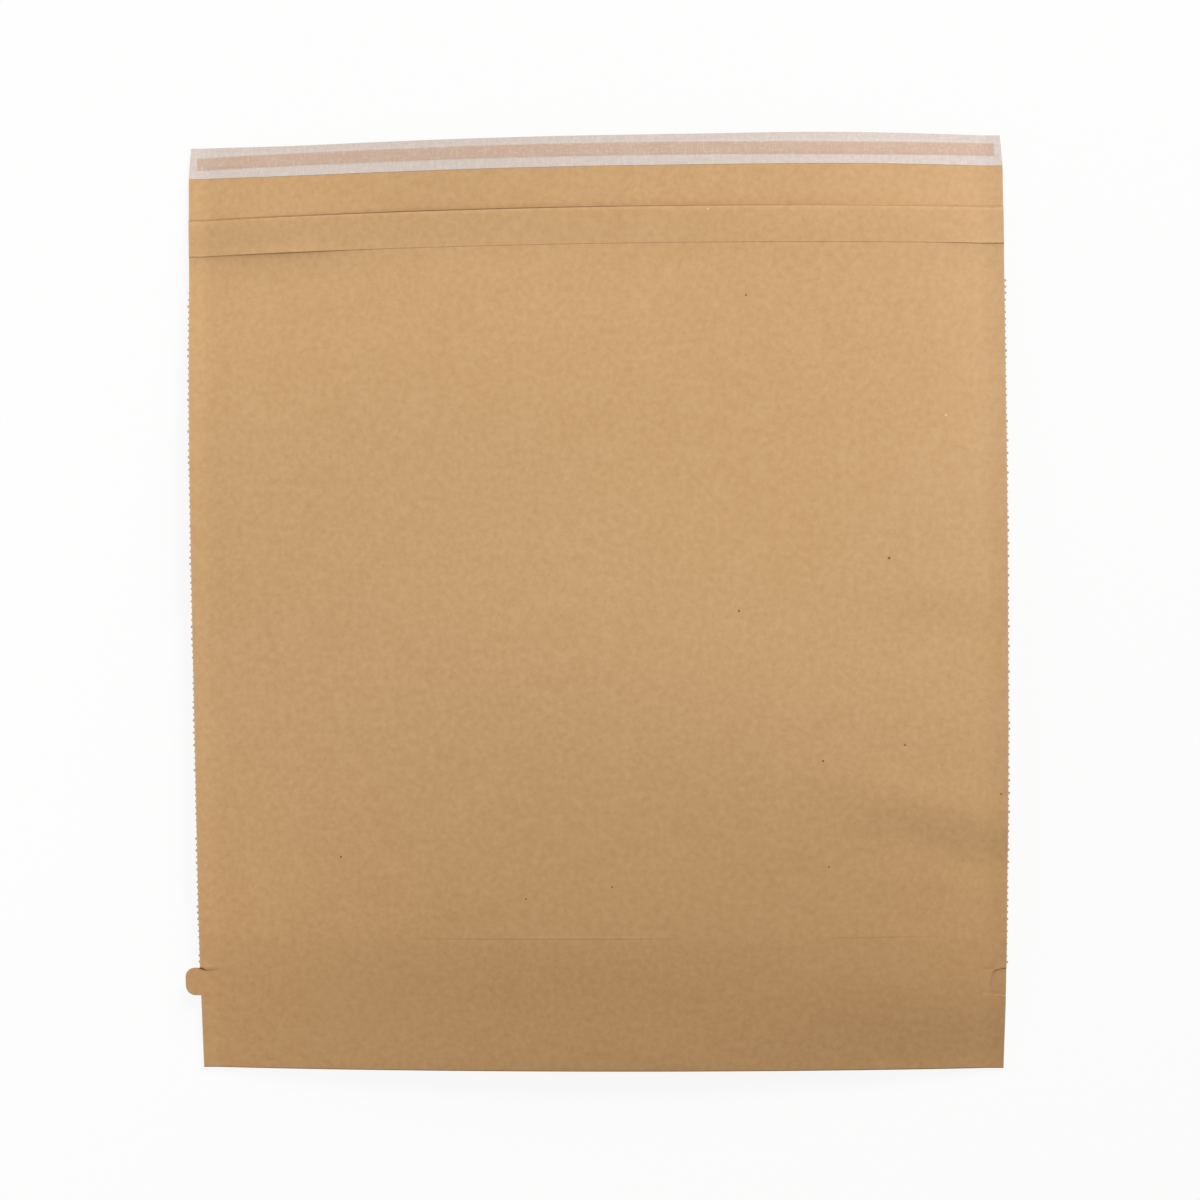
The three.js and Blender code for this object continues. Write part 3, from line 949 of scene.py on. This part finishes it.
def streaked(name, look, colour, streakColour):
    material, tree, shader, coords = newMaterial(name, look)
    length, width, strength = look["streak"]
    laid = addNode(tree, "ShaderNodeMapping", {"Scale": (1 / length, 1 / width, 1)}, {"Vector": coords})
    settings = {"Scale": 1.0, "Detail": look["detail"]}
    streak = addNode(tree, "ShaderNodeTexNoise", settings, {"Vector": laid.outputs["Vector"]})
    share = ramp(tree, streak.outputs["Fac"], 0.3, 0.7, 0, strength)
    tone = blendColour(tree, share, linear(colour), linear(streakColour))
    tree.links.new(tone, shader.inputs["Base Color"])
    return material


def hotMelt():
    # pressure-sensitive hot melt: amber, tacky and a little glossy, with coating streaks along the strip
    return streaked("pressureSensitiveHotMelt", melt, "glue", "kraftDark")


def tearFilm():
    # stretched polypropylene tape: clear, shiny, with faint draw lines
    return streaked("stretchedPolypropylene", film, "film", "kraftLight")


# camera as fitted to the bag's outline, for a frame of 1200 by 1200 pixels
view = {
    "place": (0.0247, 0.04365, 0.760),
    "tiltDegrees": (-1.4293, 1.6771, -0.5469),
    "focalPixels": 1361.35,
    "framePixels": 1200,
    "sensor": 36.0,
    "nearest": 0.01,
}


def placeCamera():
    deselectAll()
    turned = tuple(math.radians(angle) for angle in view["tiltDegrees"])
    bpy.ops.object.camera_add(location=view["place"], rotation=turned)
    camera = bpy.context.active_object
    camera.data.sensor_width = view["sensor"]
    camera.data.lens = view["focalPixels"] / view["framePixels"] * view["sensor"]
    camera.data.clip_start = view["nearest"]
    scene.camera = camera
    print("camera placed")


# lamps: a wide soft key beyond the flap, to the right, and a weak soft fill on the left
lamps = [
    {"name": "keyLamp", "place": (1.75, 3.85, 1.50), "size": 1.8, "watts": 353.0, "aim": (0.0, 0.0, 0.0)},
    {"name": "fillLamp", "place": (-0.85, -0.10, 0.50), "size": 0.5, "watts": 2.5, "aim": (0.0, 0.0, 0.0)},
]
worldLevel = 0.225
plainWhite = (1, 1, 1, 1)


def aimed(place, aim):
    dx, dy, dz = (a - p for a, p in zip(aim, place))
    flat = math.hypot(dx, dy)
    return (math.atan2(flat, -dz), 0, math.atan2(-dx, dy))


def seenShare(tree):
    # 1 for rays that come from the camera, a mirror or through glass
    path = addNode(tree, "ShaderNodeLightPath").outputs
    rays = {0: path["Is Camera Ray"], 1: path["Is Glossy Ray"]}
    either = addNode(tree, "ShaderNodeMath", {"operation": "MAXIMUM"}, rays).outputs[0]
    rays = {0: either, 1: path["Is Transmission Ray"]}
    return addNode(tree, "ShaderNodeMath", {"operation": "MAXIMUM"}, rays).outputs[0]


def lightStudio():
    deselectAll()
    for lamp in lamps:
        turned = aimed(lamp["place"], lamp["aim"])
        bpy.ops.object.light_add(type="AREA", location=lamp["place"], rotation=turned)
        light = bpy.context.active_object
        light.name = lamp["name"]
        light.data.size = lamp["size"]
        light.data.energy = lamp["watts"]
    world = bpy.data.worlds.new("studioWorld")
    scene.world = world
    world.use_nodes = True
    tree = world.node_tree
    tree.nodes.clear()
    lit = addNode(tree, "ShaderNodeBackground", {"Color": plainWhite, "Strength": worldLevel}).outputs[0]
    seen = addNode(tree, "ShaderNodeBackground", {"Color": plainWhite, "Strength": 1.0}).outputs[0]
    both = addNode(tree, "ShaderNodeMixShader", {}, {0: seenShare(tree), 1: lit, 2: seen}).outputs[0]
    addNode(tree, "ShaderNodeOutputWorld", {}, {"Surface": both})
    print("lamps and world set")


# the pale floor
ground = {
    "roughness": 0.9,
    "specular": 0.1,
    "size": 6,
    "level": -0.0003,
    "show": 0.90,  # share of plain white the camera sees on the floor; the rest keeps the shadow
}


def layFloor():
    deselectAll()
    bpy.ops.mesh.primitive_plane_add(size=ground["size"], location=(0, 0, ground["level"]))
    floor = bpy.context.active_object
    floor.name = "studioFloor"
    material, tree, shader, _ = newMaterial("paleFloor", ground)
    shader.inputs["Base Color"].default_value = linear("floor")
    white = addNode(tree, "ShaderNodeEmission", {"Color": plainWhite, "Strength": 1.0}).outputs[0]
    share = times(tree, seenShare(tree), ground["show"])
    both = addNode(tree, "ShaderNodeMixShader", {}, {0: share, 1: shader.outputs[0], 2: white}).outputs[0]
    tree.links.new(both, tree.nodes["Material Output"].inputs["Surface"])
    floor.data.materials.append(material)
    print("floor laid")


placeCamera()
bag = makeBag()
adhesive = makeAdhesive()
liner = makeLiner()
tape = makeTape()
looks = [(bag, kraftPaper()), (adhesive, hotMelt()), (liner, linerPaper()), (tape, tearFilm())]
for piece, material in looks:
    piece.data.materials.clear()
    piece.data.materials.append(material)
print("materials on")
lightStudio()
layFloor()
scene.view_settings.view_transform = "Standard"
